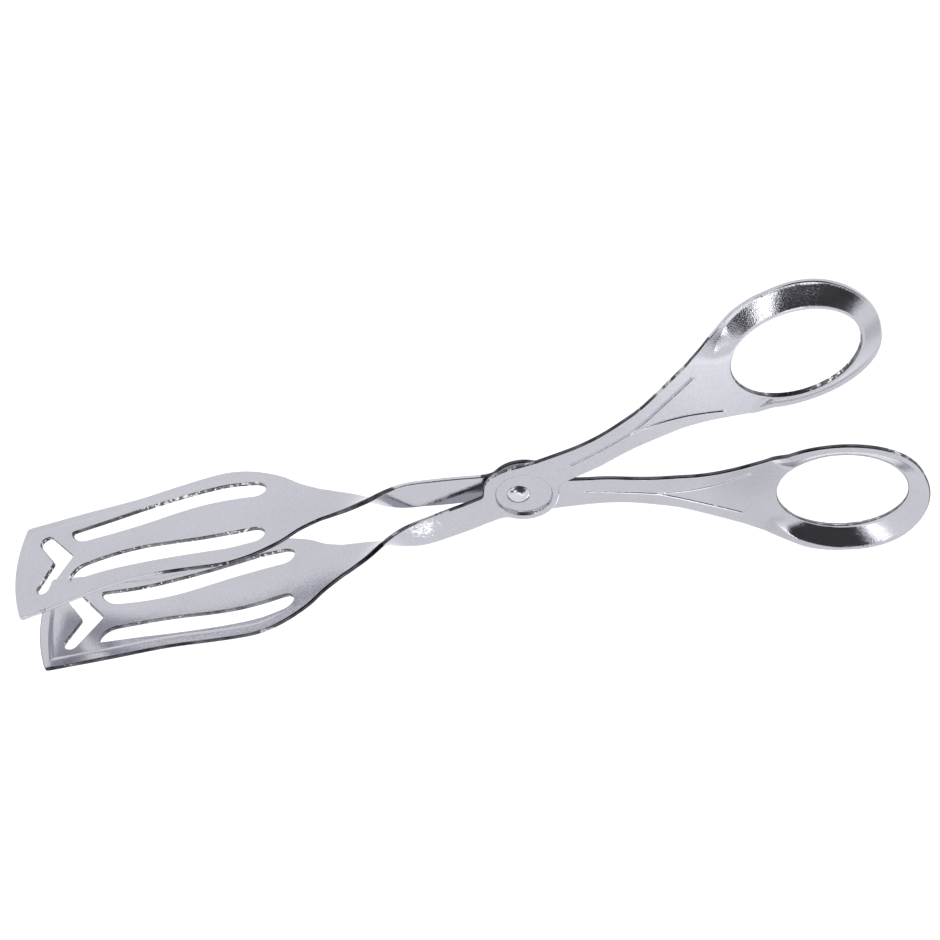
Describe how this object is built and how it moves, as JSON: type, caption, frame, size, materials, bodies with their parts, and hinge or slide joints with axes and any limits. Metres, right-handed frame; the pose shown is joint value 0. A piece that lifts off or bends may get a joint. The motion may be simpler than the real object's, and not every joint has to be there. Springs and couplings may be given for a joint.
{
  "type": "serving tongs",
  "caption": "Scissor-action stainless serving tongs: finger loops and twisted necks lead to wide slotted blades that grip pastry or salad.",
  "frame": {"origin": "centre of the bounding box in the resting pose; the rivet is 18.23 mm towards +X on the same line", "axes": "+X along the tongs from blade tips to finger loops, +Y along the rivet from the near plate to the far plate, +Z across the handles towards the near half's finger loop"},
  "size_m": [0.2544, 0.0378, 0.1038],
  "materials": {
    "near_half": "polished stainless steel",
    "far_half": "polished stainless steel",
    "rivet": "polished stainless steel"
  },
  "bodies": {
    "near": {"near_half": "near_half", "rivet": "rivet"},
    "far": {"far_half": "far_half"}
  },
  "joints": [
    {"name": "pivot", "type": "hinge", "parent": "near", "child": "far", "pos_m": [0.01823, 0, 0], "axis": [0, 1, 0], "range_deg": [-6.4, 60]}
  ]
}
